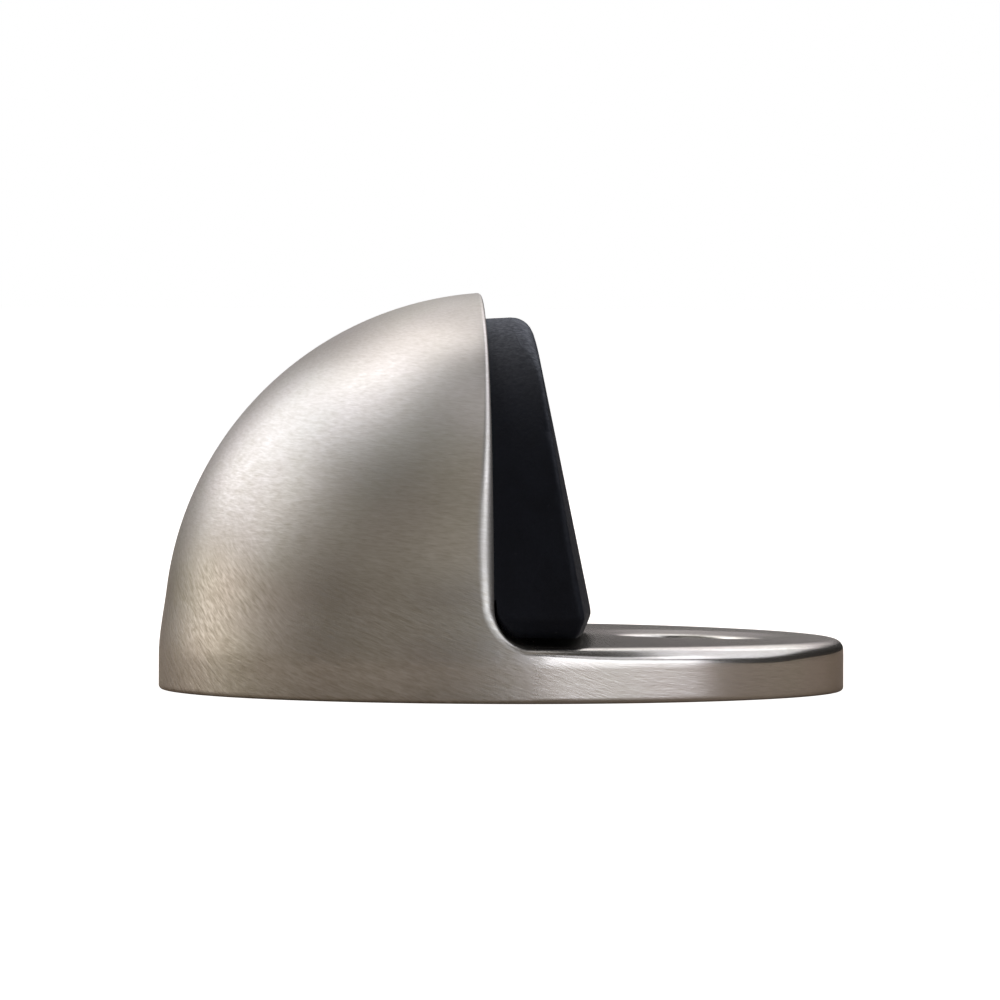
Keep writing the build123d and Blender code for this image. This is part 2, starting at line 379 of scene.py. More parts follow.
class Builder:
    """Collects faces over points that are merged where they coincide."""

    def __init__(self):
        self.v, self.f = [], []
        self.count = 0

    def add(self, pts):
        pts = np.asarray(pts, float).reshape(-1, 3)
        self.v.append(pts)
        i0 = self.count
        self.count += len(pts)
        return np.arange(i0, i0 + len(pts))

    def grid(self, pts, wrap=False):
        """pts is rows x columns x 3; wrap joins the last column to the first."""
        n, m = pts.shape[:2]
        ids = self.add(pts).reshape(n, m)
        if wrap:
            ids = np.concatenate([ids, ids[:, :1]], 1)
        a, b, c, d = ids[:-1, :-1], ids[1:, :-1], ids[1:, 1:], ids[:-1, 1:]
        self.f.extend(np.stack([a, b, c, d], -1).reshape(-1, 4).tolist())

    def flat(self, loops):
        """Fills a flat region bounded by loops[0], with the others as holes."""
        from mathutils.geometry import tessellate_polygon

        loops = [np.asarray(lp, float) for lp in loops]
        ids = np.concatenate([self.add(lp) for lp in loops])
        tris = tessellate_polygon([[Vector(p) for p in lp] for lp in loops])
        self.f.extend([[int(ids[i]) for i in tri] for tri in tris])

    def mesh(self, name, angle=32.0, merge=2e-3):
        v = np.concatenate(self.v)
        me = bpy.data.meshes.new(name)
        bm = bmesh.new()
        bv = [bm.verts.new(Vector(p) / 1000.0) for p in v]
        for f in self.f:
            if len(set(f)) == len(f):
                try:
                    bm.faces.new([bv[i] for i in f])
                except ValueError:
                    pass
        bmesh.ops.remove_doubles(bm, verts=bm.verts, dist=merge / 1000.0)
        bmesh.ops.dissolve_degenerate(bm, dist=1e-7, edges=bm.edges)
        loose = [x for x in bm.verts if not x.link_faces]
        bmesh.ops.delete(bm, geom=loose, context="VERTS")
        bmesh.ops.recalc_face_normals(bm, faces=bm.faces)
        open_edges = sum(1 for e in bm.edges if len(e.link_faces) != 2)
        print("MESH", name, len(bm.verts), len(bm.faces), "edges without two faces:", open_edges)
        bm.to_mesh(me)
        bm.free()
        me.shade_smooth()
        me.set_sharp_from_angle(angle=math.radians(angle))
        return me


def ring(radius, n, x=0.0, y=0.0, z=0.0, a0=0.0):
    a = a0 + np.linspace(0, 2 * math.pi, n, endpoint=False)
    return np.stack([x + radius * np.cos(a), y + radius * np.sin(a), np.full(n, z)], -1)


def ring_x(radius, n, x, y, z):
    a = np.linspace(0, 2 * math.pi, n, endpoint=False)
    return np.stack([np.full(n, x), y + radius * np.cos(a), z + radius * np.sin(a)], -1)


def casting():
    b = Builder()
    dense, s, marks = contour_half()
    E, t, cuts, counts = resample(dense, s, marks)
    n1, n2, N = counts[0] + int(counts[1] * 0.55), counts[0] + counts[1], sum(counts)
    u = cut_u(E)
    nb = np.stack(
        [np.cos(np.clip(u / CORNER, 0, math.pi / 2)), np.zeros(len(E)), np.sin(np.clip(u / CORNER, 0, math.pi / 2))], -1
    )
    na = outside_normal(E)
    # Edge rounding: small round the face, growing along the fillet to the rim.
    c1, c2 = cuts[1], cuts[2]
    rad = np.interp(
        t,
        [0, 0.42 * c1, 0.62 * c1, 0.80 * c1, c1 - 3.0, c1 + 0.6, c2 - 0.6, c2 + 1.5, c2 + 5, c2 + 13, c2 + 18, c2 + 22, c2 + 30, cuts[3]],
        [0.24, 0.32, 0.58, 1.04, 1.12, 0.66, 0.46, 0.60, 0.98, 1.10, 1.32, 0.98, 0.78, 0.72],
    )
    for _ in range(40):  # smooth the changes of radius
        rad[1:-1] = 0.25 * rad[:-2] + 0.5 * rad[1:-1] + 0.25 * rad[2:]
    C = E - rad[:, None] * (na + nb) / (1 + (na * nb).sum(-1, keepdims=True))
    zc = np.array([0, 0, DOME_Z])
    A = outside(C + rad[:, None] * na - zc)
    Bp = C + rad[:, None] * nb
    Bp[0, 1] = Bp[-1, 1] = 0.0
    uB, yB = cut_u(Bp), Bp[:, 1]
    B = cut_surface(uB, yB)
    A[0, 1] = A[-1, 1] = 0.0

    def both(q):
        m = q[-2:0:-1] * np.array([1, -1, 1])
        return np.concatenate([q, m])

    A2, B2 = both(A), both(B)
    # rounding
    M = 7
    rows = [A2]
    for k in range(1, M):
        d = slerp(na, nb, k / M)
        p = C + rad[:, None] * d
        p[0, 1] = p[-1, 1] = 0.0
        rows.append(both(p))
    rows.append(B2)
    b.grid(np.stack(rows), wrap=True)
    # outside, from the edge down to a ring low on the band
    azA = np.arctan2(A[:, 1], A[:, 0])
    k1 = counts[0]
    azQ = azA.copy()
    f = np.linspace(0, 1, k1 + 1)
    azQ[: k1 + 1] = math.pi - (math.pi - azA[k1]) * f
    azQ[0], azQ[-1] = math.pi, 0.0
    zq = 1.7
    rq = float(prof(zq))
    Q = np.stack([rq * np.cos(azQ), rq * np.sin(azQ), np.full(len(azQ), zq)], -1)
    Q[0, 1] = Q[-1, 1] = 0.0
    K = 72
    rows = []
    for k in range(K + 1):
        if k == 0:
            rows.append(A2)
        elif k == K:
            rows.append(both(Q))
        else:
            p = outside(slerp(A - zc, Q - zc, k / K))
            p[0, 1] = p[-1, 1] = 0.0
            rows.append(both(p))
    b.grid(np.stack(rows), wrap=True)
    # band and foot
    az2 = np.arctan2(both(Q)[:, 1], both(Q)[:, 0])
    lv = [(zq, rq)] + [(z, float(prof(z))) for z in (1.35, 1.05, 0.8, 0.6, 0.4)] + [(FOOT_R, BASE_R)]
    for k in range(1, 7):
        g = k / 6 * math.pi / 2
        lv.append((FOOT_R * (1 - math.sin(g)), BASE_R - FOOT_R * (1 - math.cos(g))))
    rows = [both(Q)]
    for z, r in lv[1:]:
        rows.append(np.stack([r * np.cos(az2), r * np.sin(az2), np.full(len(az2), z)], -1))
    b.grid(np.stack(rows), wrap=True)
    foot_loop = rows[-1]

    # face round the pocket: outer loop to pocket outline

    def rung(i):
        yy = np.linspace(yB[i], -yB[i], W + 1)
        return np.full(W + 1, uB[i]), yy

    ru, ry = rung(n1)
    ou = np.concatenate([uB[n1::-1], uB[1 : n1 + 1], ru[::-1][1:-1]])
    oy = np.concatenate([yB[n1::-1], -yB[1 : n1 + 1], ry[::-1][1:-1]])
    zB = B[:, 2]
    ph = np.arctan2(yB[: n1 + 1], zB[: n1 + 1] - DOME_Z)
    pmax = math.acos((POCKET_Z - DOME_Z) / POCKET_R)
    ph = ph * pmax / ph[-1]
    py, pz = POCKET_R * np.sin(ph), DOME_Z + POCKET_R * np.cos(ph)
    bot_y = np.linspace(-py[-1], py[-1], W + 1)[1:-1]
    iy = np.concatenate([py[::-1], -py[1:], bot_y])
    iz = np.concatenate([pz[::-1], pz[1:], np.full(W - 1, POCKET_Z)])
    iu = CZ - iz
    rows = []
    for k in range(6):
        g = k / 5
        rows.append(cut_surface(ou * (1 - g) + iu * g, oy * (1 - g) + iy * g))
    b.grid(np.stack(rows), wrap=True)
    pocket = rows[-1]
    deep = pocket - np.array([POCKET_D, 0, 0])
    soft = pocket - np.array([0.05, 0, 0])
    b.grid(np.stack([pocket, soft, deep - np.array([-0.05, 0, 0]), deep]), wrap=True)
    HN = 64
    bx = FACE_X - POCKET_D
    wx = FACE_X - FRONT_WALL
    holes0 = [ring_x(STUD_HOLE, HN, bx, sg * STUD_Y, STUD_Z) for sg in (-1, 1)]
    holes1 = [ring_x(STUD_HOLE, HN, wx, sg * STUD_Y, STUD_Z) for sg in (-1, 1)]
    b.flat([deep] + holes0)
    for h0, h1 in zip(holes0, holes1):
        b.grid(np.stack([h0, h0 * 0.5 + h1 * 0.5, h1]), wrap=True)
    # corner fillet below the pocket ring
    rows = []
    for i in range(n1, n2 + 1):
        uu, yy = rung(i)
        rows.append(cut_surface(uu, yy))
    b.grid(np.stack(rows))

    # plate round the screw hole
    uu, yy = rung(n2)
    r0 = cut_surface(uu, yy)
    loop = np.concatenate([r0, (B * np.array([1, -1, 1]))[n2 + 1 :], B[N - 1 : n2 : -1]])
    ctr = np.array([HOLE_X, 0.0])
    d = loop[:, :2] - ctr
    dist = np.linalg.norm(d, axis=1)
    dn = d / dist[:, None]
    outer_r = 8.1

    def dish_z(x, y, rho):
        z0 = plate_top(x, y)
        dep = DISH_D * (1 - (rho / DISH_R) ** 2)
        k = 0.05
        dep = 0.5 * (dep + np.sqrt(dep * dep + k * k))
        fade = smooth01((outer_r - rho) / 0.7)
        zd = z0 - dep * fade
        base = float(plate_top(HOLE_X, 0.0)) - DISH_D
        zc_ = base - (CSK_R - rho)
        k = 0.12
        return np.where(
            rho > HOLE_R - 1e-9,
            0.5 * (zd + zc_ - np.sqrt((zd - zc_) ** 2 + k * k)) + 0.5 * k * smooth01((HOLE_R + 0.8 - rho) / 0.8),
            zd,
        ) * (rho <= 6.4) + zd * (rho > 6.4)

    rows = [loop]
    for k in range(1, 17):
        g = k / 16
        rr = dist * (1 - g) + outer_r * g
        x, y = ctr[0] + dn[:, 0] * rr, ctr[1] + dn[:, 1] * rr
        rows.append(np.stack([x, y, plate_top(x, y)], -1))
    for rho in (7.9, 7.7, 7.5, 7.35, 7.2, 7.05, 6.9, 6.7, 6.4, 6.0, 5.6, 5.25, 5.0, 4.87, 4.78, 4.7, 4.62, 4.52, 4.4, 4.1, 3.6, 3.1, 2.75, HOLE_R):
        x, y = ctr[0] + dn[:, 0] * rho, ctr[1] + dn[:, 1] * rho
        rows.append(np.stack([x, y, dish_z(x, y, np.full(len(x), rho))], -1))
    x, y = ctr[0] + dn[:, 0] * HOLE_R, ctr[1] + dn[:, 1] * HOLE_R
    for z in (0.8, 0.4, 0.0):
        rows.append(np.stack([x, y, np.full(len(x), z)], -1))
    b.grid(np.stack(rows), wrap=True)
    bore = rows[-1]

    # hollow of the dome
    def hr(z):
        z = np.asarray(z, float)
        top = np.sqrt(np.maximum(HOLLOW_R**2 - (z - DOME_Z) ** 2, 0))
        return np.where(z > 5.5, top, RING_IN + (math.sqrt(HOLLOW_R**2 - (5.5 - DOME_Z) ** 2) - RING_IN) * smooth01(z / 5.5))

    rho = math.sqrt(HOLLOW_R**2 - wx**2)
    ph = np.linspace(0, math.acos((5.5 - DOME_Z) / rho), 60)
    za = np.concatenate([DOME_Z + rho * np.cos(ph), np.linspace(5.5, 0, 9)[1:]])
    ya = np.sqrt(np.maximum(hr(za) ** 2 - wx**2, 0))
    ya[0] = 0.0
    arc = np.stack([np.full(len(za), wx), ya, za], -1)
    nA_, nlow = len(za), 9
    az_end = math.atan2(ya[60 - 1], wx)
    z5 = 5.5
    az = math.pi - (math.pi - az_end) * np.linspace(0, 1, 60)
    r5 = float(hr(z5))
    Q5 = np.stack([r5 * np.cos(az), r5 * np.sin(az), np.full(60, z5)], -1)
    Q5[0, 1] = 0.0
    Q5[-1] = arc[59]
    KH = 36
    rows = []
    for k in range(KH + 1):
        if k == 0:
            p = arc[:60].copy()
        elif k == KH:
            p = Q5.copy()
        else:
            dd = slerp(arc[:60] - zc, Q5 - zc, k / KH)
            p = zc + HOLLOW_R * dd
            p[0, 1] = 0.0
            p[-1] = arc[59]
        rows.append(np.concatenate([p[::-1], (p * np.array([1, -1, 1]))[1:]]))
    b.grid(np.stack(rows))
    rows = [rows[-1]]
    low_az = np.arctan2(rows[0][:, 1], rows[0][:, 0])
    for i in range(60, len(za)):
        z = za[i]
        r_ = float(hr(z))
        # the ring's ends stay on the front wall
        e = math.atan2(ya[i], wx)
        azz = np.sign(low_az) * (math.pi - (math.pi - np.abs(low_az)) / (math.pi - az_end) * (math.pi - e))
        azz = np.where(np.abs(np.abs(low_az) - math.pi) < 1e-9, math.pi, azz)
        p = np.stack([r_ * np.cos(azz), r_ * np.sin(azz), np.full(len(azz), z)], -1)
        p[59, 1] = 0.0
        p[0] = arc[i]
        p[-1] = arc[i] * np.array([1, -1, 1])
        rows.append(p)
    b.grid(np.stack(rows))
    hollow_low = rows[-1]
    # front wall of the hollow
    edge_p = arc[::-1]
    wall_loop = np.concatenate([edge_p, (arc * np.array([1, -1, 1]))[1:]])
    nb_ = 24
    base_y = np.linspace(-ya[-1], ya[-1], nb_ + 1)[1:-1]
    base_line = np.stack([np.full(nb_ - 1, wx), base_y, np.zeros(nb_ - 1)], -1)
    b.flat([np.concatenate([wall_loop, base_line])] + holes1)

    # relief under the plate
    rx = FACE_X + CORNER + 0.4
    ra = math.acos(rx / RING_IN)
    aa = np.linspace(-ra, ra, 121)
    relief = np.stack([RING_IN * np.cos(aa), RING_IN * np.sin(aa), np.zeros(121)], -1)
    yl = np.linspace(relief[-1, 1], relief[0, 1], 40)[1:-1]
    relief = np.concatenate([relief, np.stack([np.full(38, rx), yl, np.zeros(38)], -1)])
    lift = np.array([0, 0, RELIEF_Z])
    boss = ring(BOSS_R, 96, HOLE_X, 0.0, 0.0)
    b.grid(np.stack([relief, relief + lift * 0.5, relief + lift]), wrap=True)
    b.grid(np.stack([boss, boss + lift * 0.5, boss + lift]), wrap=True)
    b.flat([relief + lift, boss + lift])
    b.flat([boss, bore])
    b.flat([foot_loop, np.concatenate([hollow_low, base_line]), relief])
    return b.mesh("door_stop_casting")


# ---------------------------------------------------------------- rubber mesh
BUF_R, BUF_Z0, BUF_X0, BUF_XZ = 20.35, 4.10, 5.43, 6.63
BUF_SLOPE, BUF_CROWN, DRAFT = math.radians(11.7), 170.0, math.tan(math.radians(3.0))
BEVEL_Z, BEVEL_IN = 5.33, 0.52
BACK_X = FACE_X - POCKET_D
PLATE_T, PLATE_R, PLATE_Z0 = 1.5, 16.2, 7.0


def lumps(p, seed, scale, octaves=3):
    """Smooth seeded noise over points in mm, about -1 to 1."""
    rng = np.random.default_rng(seed)
    out = np.zeros(p.shape[:-1])
    amp = 1.0
    for _ in range(octaves):
        for _ in range(5):
            k = rng.normal(size=3)
            k = k / np.linalg.norm(k) * scale * rng.uniform(0.7, 1.4)
            out += amp * np.sin((p * k).sum(-1) + rng.uniform(0, 6.28)) / 5
        scale *= 2.1
        amp *= 0.55
    return out


def front_x(y, z):
    """Crowned front, leaning back with height, drawn in below bevel_z."""
    c = math.cos(BUF_SLOPE)
    sag = BUF_CROWN - np.sqrt(np.maximum(BUF_CROWN**2 - y**2, 0))
    x = BUF_X0 - math.tan(BUF_SLOPE) * (z - BUF_XZ) - sag / c
    x0 = BUF_X0 - math.tan(BUF_SLOPE) * (BEVEL_Z - BUF_XZ) - sag / c
    bev = x0 - (BEVEL_Z - z) * BEVEL_IN / (BEVEL_Z - BUF_Z0)
    k = 0.10
    return 0.5 * (x + bev - np.sqrt((x - bev) ** 2 + k * k))


def buffer_outline(radius, zb, n_side=96, n_bot=72, corner=0.3):
    """Closed loop (y, z): from the low end at +y over the top to -y, then back along the bottom."""
    def side_y(z):
        r = np.sqrt(np.maximum(radius**2 - (z - DOME_Z) ** 2, 0))
        return r - np.clip((BEVEL_Z - z) / (BEVEL_Z - BUF_Z0), 0, 1) * BEVEL_IN

    zlow = zb + corner
    zz = np.concatenate([np.linspace(zlow, 7.0, 60), DOME_Z + radius * np.sin(np.linspace(math.asin((7.0 - DOME_Z) / radius), math.pi / 2, 400))[1:]])
    yy = side_y(zz)
    yy[-1] = 0.0
    yl = float(side_y(np.array([zb]))[0])
    g = np.linspace(0, math.pi / 2, 8)[:-1]
    cy = yl - corner * (1 - np.sin(g))
    cz = zb + corner * (1 - np.cos(g))
    path = np.concatenate([np.stack([cy, cz], -1), np.stack([yy, zz], -1)])
    s = np.concatenate([[0], np.cumsum(np.linalg.norm(np.diff(path, axis=0), axis=1))])
    # denser near the low corner
    t = np.linspace(0, 1, n_side + 1)
    t = s[-1] * (0.55 * t + 0.45 * t**2.2)
    side = np.stack([np.interp(t, s, path[:, 0]), np.interp(t, s, path[:, 1])], -1)
    side[-1, 0] = 0.0
    other = side[-2::-1] * np.array([-1, 1])
    yb = np.linspace(other[-1, 0], side[0, 0], n_bot + 1)[1:-1]
    return np.concatenate([side, other, np.stack([yb, np.full(len(yb), zb)], -1)])


def buffer_mesh():
    b = Builder()
    # rows from the back to the front: x, height of the lower edge
    rows_x = [(BACK_X, 6.4), (BACK_X + 0.3, 6.4), (FACE_X + 0.05, 6.4), (FACE_X + 0.17, 6.38)]
    clear = CORNER - 0.2
    for g in np.linspace(0.03, 1, 14):
        a = g * math.pi / 2
        rows_x.append((CX - clear * math.cos(a), max(CZ - clear * math.sin(a), BUF_Z0)))
    rows_x += [(1.25, BUF_Z0), (1.7, BUF_Z0)]
    rows = []
    for x, zb in rows_x:
        o = buffer_outline(BUF_R + DRAFT * (x - BACK_X), zb)
        rows.append(np.stack([np.full(len(o), x), o[:, 0], o[:, 1]], -1))
    # front edge: where the side meets the front
    x = np.full(len(rows[0]), 5.0)
    for _ in range(10):
        o1 = buffer_outline(BUF_R + DRAFT * (0 - BACK_X), BUF_Z0)
        o2 = buffer_outline(BUF_R + DRAFT * (8 - BACK_X), BUF_Z0)
        o = o1 + (o2 - o1) * (x / 8.0)[:, None]
        x = front_x(o[:, 0], o[:, 1])
    E = np.stack([x, o[:, 0], o[:, 1]], -1)
    dirs = np.stack([np.full(len(o), 8.0), *(o2 - o1).T], -1)
    dirs = dirs / np.linalg.norm(dirs, axis=1, keepdims=True)  # along the side, forwards
    tang = np.roll(E, -1, axis=0) - np.roll(E, 1, axis=0)
    na = np.cross(tang, dirs)
    na = na / np.linalg.norm(na, axis=1, keepdims=True)
    if (na[:, 1:] * (E[:, 1:] - np.array([0, 12.0]))).sum() < 0:
        na = -na
    h = 1e-3
    fy = (front_x(E[:, 1] + h, E[:, 2]) - front_x(E[:, 1] - h, E[:, 2])) / (2 * h)
    fz = (front_x(E[:, 1], E[:, 2] + h) - front_x(E[:, 1], E[:, 2] - h)) / (2 * h)
    nf = np.stack([np.ones(len(E)), -fy, -fz], -1)
    nf = nf / np.linalg.norm(nf, axis=1, keepdims=True)
    rad = 0.44 + 0.07 * lumps(E, 5, 0.45) + 0.04 * lumps(E, 9, 1.6)
    rad = rad + 0.95 * smooth01((E[:, 2] - 20.6) / 3.2)
    rad = np.where(E[:, 2] < BUF_Z0 + 0.02, 0.25, rad)
    low = smooth01((E[:, 2] - BUF_Z0) / 1.6)
    rad = 0.28 + (rad - 0.28) * low
    C = E - rad[:, None] * (na + nf) / (1 + (na * nf).sum(-1, keepdims=True))
    start = C + rad[:, None] * na
    # Near the top the pad is thin, so the rows draw back behind the rounding.
    room = np.clip((start[:, 0] - 0.12 + 1.0) / 2.7, 0, 1)
    for q in rows:
        dx = np.where(q[:, 0] > -1.0, (q[:, 0] + 1.0) * (room - 1.0), 0.0)
        q[:, 0] += dx
        q[:, 1:] += dx[:, None] * (o2 - o1) / 8.0
    last = rows[-1]
    for k in range(1, 9):
        rows.append(last + (start - last) * (k / 9))
    for k in range(0, 8):
        rows.append(C + rad[:, None] * slerp(na, nf, k / 7))
    # front, as rings closing on its middle
    F = rows[-1][:, 1:]
    core = np.stack([np.zeros(len(F)), np.full(len(F), 12.0)], -1)
    KF = 44
    for k in range(1, KF + 1):
        g = 0.985 * (k / KF) ** 0.9
        q = F * (1 - g) + core * g
        xx = front_x(q[:, 0], q[:, 1])
        rows.append(np.stack([xx, q[:, 0], q[:, 1]], -1))
    rows = np.stack(rows)
    # Small unevenness of a moulded part: fine over the skin, more along the
    # front edge where it has been handled and trimmed.
    ne = len(rows_x) + 8
    idx = np.arange(len(rows))
    edge_w = np.exp(-(((idx - (ne + 3)) / 4.0) ** 2))[:, None]
    inner = (idx > len(rows_x) - 1)[:, None]
    amp = (0.010 + 0.095 * edge_w) * inner
    nick = lumps(rows, 21, 2.4, 3)
    nick = -np.clip(nick - 0.15, 0, 1) * 1.3 + 0.12 * lumps(rows, 33, 0.9)
    centre = np.array([0.0, 0.0, 12.0])
    out = rows - centre
    out = out / np.linalg.norm(out, axis=-1, keepdims=True)
    rows = rows + out * (nick * amp)[..., None]
    rows[..., 2] = np.maximum(rows[..., 2], BUF_Z0 - 0.01)
    b.grid(rows, wrap=True)
    # the middle of the front
    hub = rows[-1].mean(0)
    b.grid(np.stack([rows[-1], np.broadcast_to(hub, rows[-1].shape)]), wrap=True)
    # back, with the seat of the steel plate
    back = rows[0]
    seat = buffer_outline(PLATE_R, PLATE_Z0, corner=0.05)
    seat3 = np.stack([np.full(len(seat), BACK_X), seat[:, 0], seat[:, 1]], -1)
    b.flat([back, seat3])
    b.grid(np.stack([seat3, seat3 + np.array([PLATE_T, 0, 0])]), wrap=True)
    b.flat([seat3 + np.array([PLATE_T, 0, 0])])
    return b.mesh("rubber_buffer_moulded", angle=38.0, merge=1e-3)


# ---------------------------------------------------------------- studs, washers, nuts
WALL_X, STUD_END, STUD_R = FACE_X - FRONT_WALL, -10.6, 2.0
HEAD_R, HEAD_T = 2.9, 1.0
WASHER_R, WASHER_HOLE, WASHER_T = 4.5, 2.15, 0.8
NUT_AF, NUT_T, NUT_BORE = 7.0, 3.2, 2.03
PITCH, THREAD_DEPTH = 0.7, 0.38


def ring_of(x, radii, y):
    """Ring about the stud's axis, with its own radius at each angle."""
    a = np.linspace(0, 2 * math.pi, len(radii), endpoint=False)
    x = np.broadcast_to(np.asarray(x, float), (len(radii),))
    return np.stack([x, y + radii * np.cos(a), STUD_Z + radii * np.sin(a)], -1)


def washers_mesh():
    b = Builder()
    n, e = 72, 0.12
    for sg in (-1, 1):
        prof_xr = []
        corners = ((-WASHER_T, WASHER_HOLE, 1), (-WASHER_T, WASHER_R, 0), (0.0, WASHER_R, 3), (0.0, WASHER_HOLE, 2))
        for cx, cr, q in corners:
            sx = 1 if cx < 0 else -1
            sr = 1 if cr < 3 else -1
            ox, orr = cx + sx * e, cr + sr * e
            start = {1: (0, -1), 0: (-1, 0), 3: (0, 1), 2: (1, 0)}[q]
            end = {1: (-1, 0), 0: (0, 1), 3: (1, 0), 2: (0, -1)}[q]
            for k in range(4):
                g = k / 3 * math.pi / 2
                dx = start[0] * math.cos(g) + end[0] * math.sin(g)
                dr = start[1] * math.cos(g) + end[1] * math.sin(g)
                prof_xr.append((ox + e * dx, orr + e * dr))
        prof_xr.append(prof_xr[0])
        b.grid(np.stack([ring_of(WALL_X + px, np.full(n, pr), sg * STUD_Y) for px, pr in prof_xr]), wrap=True)
    return b.mesh("stud_washers_rounded", angle=40.0, merge=2e-4)


def nuts_mesh():
    b = Builder()
    n = 120
    a = np.linspace(0, 2 * math.pi, n, endpoint=False)
    hexa = NUT_AF / 2 / np.cos(np.mod(a, math.pi / 3) - math.pi / 6)
    # Corners of the hexagon very slightly rounded.
    hexa = np.minimum(hexa, NUT_AF / math.sqrt(3) - 0.06)
    x1 = WALL_X - WASHER_T
    for sg in (-1, 1):
        rows = []
        for d in (0.0, 0.06, 0.14, 0.22, 0.30, 0.40, 0.6, 1.1, NUT_T / 2):
            rows.append((x1 - NUT_T + d, np.minimum(hexa, NUT_AF / 2 * 0.965 + d * 1.73)))
        for d in (1.1, 0.6, 0.40, 0.30, 0.22, 0.14, 0.06, 0.0):
            rows.append((x1 - d, np.minimum(hexa, NUT_AF / 2 * 0.965 + d * 1.73)))
        rows += [(x1, np.full(n, 2.9)), (x1, np.full(n, NUT_BORE + 0.28)), (x1 - 0.25, np.full(n, NUT_BORE))]
        rows += [(x1 - NUT_T + 0.25, np.full(n, NUT_BORE)), (x1 - NUT_T, np.full(n, NUT_BORE + 0.28)), (x1 - NUT_T, np.full(n, 2.9))]
        rows.append(rows[0])
        b.grid(np.stack([ring_of(x, r, sg * STUD_Y) for x, r in rows]), wrap=True)
    return b.mesh("stud_nuts_chamfered", angle=28.0, merge=2e-4)


def studs_mesh():
    b = Builder()
    n = 48
    a = np.linspace(0, 2 * math.pi, n, endpoint=False)
    head_x = BACK_X + PLATE_T
    for sg in (-1, 1):
        rows = [ring_of(STUD_END, np.full(n, 1.35), sg * STUD_Y)]
        end_thread = WALL_X + 0.4
        xs = np.arange(STUD_END + 0.001, end_thread, PITCH / 12)
        for x in xs:
            ph = np.mod(x / PITCH - sg * 0 - a / (2 * math.pi), 1.0)
            v = np.abs(ph * 2 - 1)  # 0 at the root, 1 at the crest
            v = np.clip((v - 0.12) / 0.76, 0, 1)
            fade = min(1.0, (end_thread - x) / 1.2)
            r = STUD_R - 0.02 - THREAD_DEPTH * (1 - v) * fade
            r = np.minimum(r, 1.42 + (x - STUD_END) * 1.2)
            rows.append(ring_of(x, r, sg * STUD_Y))
        rows.append(ring_of(end_thread, np.full(n, STUD_R - 0.01), sg * STUD_Y))
        hx = head_x - HEAD_T
        rows.append(ring_of(hx, np.full(n, STUD_R - 0.01), sg * STUD_Y))
        rows.append(ring_of(hx, np.full(n, HEAD_R - 0.12), sg * STUD_Y))
        rows.append(ring_of(hx + 0.08, np.full(n, HEAD_R - 0.02), sg * STUD_Y))
        rows.append(ring_of(head_x - 0.1, np.full(n, HEAD_R - 0.02), sg * STUD_Y))
        rows.append(ring_of(head_x - 0.01, np.full(n, HEAD_R - 0.14), sg * STUD_Y))
        b.grid(np.stack(rows), wrap=True)
        b.flat([rows[0]])
        b.flat([rows[-1]])
    return b.mesh("buffer_studs_threaded", angle=34.0, merge=2e-4)


def piece(name, mesh, material, node):
    ob = bpy.data.objects.new(name, mesh)
    scene.collection.objects.link(ob)
    mesh.materials.append(material)
    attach(ob, "root")
    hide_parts(node)
    return ob


piece("casting", casting(), nickel, "stop_body")
piece("rubber_pad", buffer_mesh(), rubber, "rubber_buffer")
piece("studs", studs_mesh(), zinc, "buffer_studs")
piece("washers", washers_mesh(), zinc, "stud_washers")
piece("nuts", nuts_mesh(), zinc, "stud_nuts")


# ---------------------------------------------------------------- studio
def direction(az, el):
    """Unit vector from the object towards azimuth az, elevation el. 0,0 is the -Y side, 90,0 the +X side."""
    a, e = math.radians(az), math.radians(el)
    return Vector((math.sin(a) * math.cos(e), -math.cos(a) * math.cos(e), math.sin(e)))


AIM = Vector((0.0, 0.0, 0.012))


def softbox(name, az, el, dist, w, h, power, colour=(1, 1, 1), roll=0.0):
    data = bpy.data.lights.new(name, "AREA")
    data.shape = "RECTANGLE"
    data.size, data.size_y = w, h
    data.energy = power
    data.color = colour
    ob = bpy.data.objects.new(name, data)
    d = direction(az, el)
    q = (-d).to_track_quat("-Z", "Y")
    ob.rotation_mode = "QUATERNION"
    ob.rotation_quaternion = q @ Matrix.Rotation(math.radians(roll), 4, "Z").to_quaternion()
    ob.location = AIM + d * dist
    ob.visible_camera = False
    scene.collection.objects.link(ob)
    return ob


COOL, PLAIN, WARM = (0.955, 0.99, 1.13), (0.985, 0.99, 1.05), (1.0, 0.905, 0.80)
